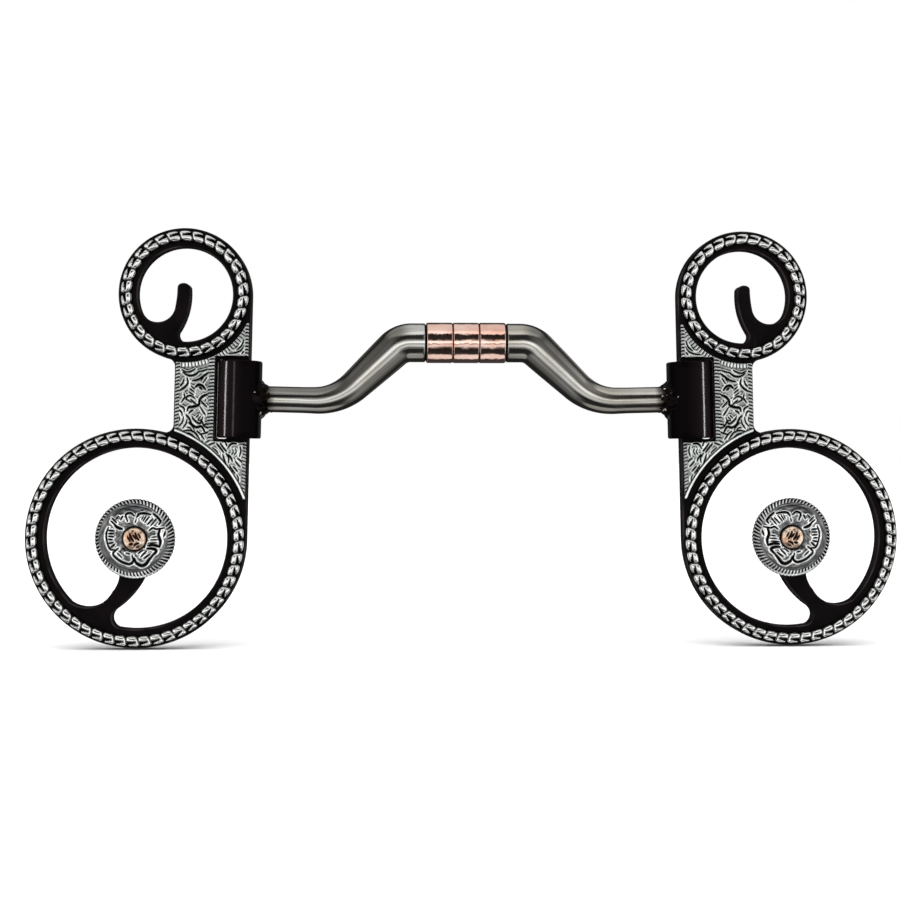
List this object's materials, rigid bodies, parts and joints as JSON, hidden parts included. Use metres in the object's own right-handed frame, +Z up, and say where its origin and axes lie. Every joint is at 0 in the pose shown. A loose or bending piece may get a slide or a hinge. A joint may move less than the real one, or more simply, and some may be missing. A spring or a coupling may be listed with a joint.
{
  "type": "curb bit",
  "caption": "Loose-jaw curb bit: ported mouthpiece with copper rollers, and swivelling cheeks with rope-edged purchase and rein rings.",
  "frame": {"origin": "centre of the middle roller, on the roller pin's axis, midway between the cheeks", "axes": "+X along the mouthpiece towards the right cheek, +Z up towards the purchase rings, -Y out of the decorated faces; the cheeks are at rest swung flat outwards, in the XZ plane"},
  "size_m": [0.2718, 0.0136, 0.1297],
  "materials": {
    "black_steel": "blackened steel, satin",
    "gloss_black_steel": "blackened steel, glossy",
    "brushed_steel": "brushed, faintly warm",
    "rope_silver": "bright silver with dark recesses",
    "engraved_silver": "antiqued silver, engraved",
    "concho_silver": "antiqued silver, engraved",
    "roller_copper": "polished copper",
    "rivet_copper": "copper, engraved dome"
  },
  "bodies": {
    "mouthpiece": {"left_mouth_bar": "brushed_steel", "right_mouth_bar": "brushed_steel", "left_hinge_sleeve": "gloss_black_steel", "right_hinge_sleeve": "gloss_black_steel", "roller_pin": "brushed_steel"},
    "left_cheek": {"left_cheek_plate": "black_steel", "left_shank_overlay": "engraved_silver", "left_purchase_ring_rope": "rope_silver", "left_rein_ring_rope": "rope_silver", "left_concho": "concho_silver", "left_concho_rivet": "rivet_copper"},
    "right_cheek": {"right_cheek_plate": "black_steel", "right_shank_overlay": "engraved_silver", "right_purchase_ring_rope": "rope_silver", "right_rein_ring_rope": "rope_silver", "right_concho": "concho_silver", "right_concho_rivet": "rivet_copper"},
    "left_roller": {"left_copper_roller": "roller_copper"},
    "centre_roller": {"centre_copper_roller": "roller_copper"},
    "right_roller": {"right_copper_roller": "roller_copper"}
  },
  "joints": [
    {"name": "left_cheek_swivel", "type": "hinge", "parent": "mouthpiece", "child": "left_cheek", "pos_m": [-0.0703, 0, -0.0178], "axis": [-0.0241, 0, -0.9997], "range_deg": [-105, 105]},
    {"name": "right_cheek_swivel", "type": "hinge", "parent": "mouthpiece", "child": "right_cheek", "pos_m": [0.0703, 0, -0.0178], "axis": [-0.0241, 0, 0.9997], "range_deg": [-105, 105]},
    {"name": "left_roller_spin", "type": "hinge", "parent": "mouthpiece", "child": "left_roller", "pos_m": [-0.0082, 0, 0], "axis": [1, 0, 0], "continuous": true},
    {"name": "centre_roller_spin", "type": "hinge", "parent": "mouthpiece", "child": "centre_roller", "pos_m": [0, 0, 0], "axis": [1, 0, 0], "continuous": true},
    {"name": "right_roller_spin", "type": "hinge", "parent": "mouthpiece", "child": "right_roller", "pos_m": [0.0082, 0, 0], "axis": [1, 0, 0], "continuous": true}
  ]
}
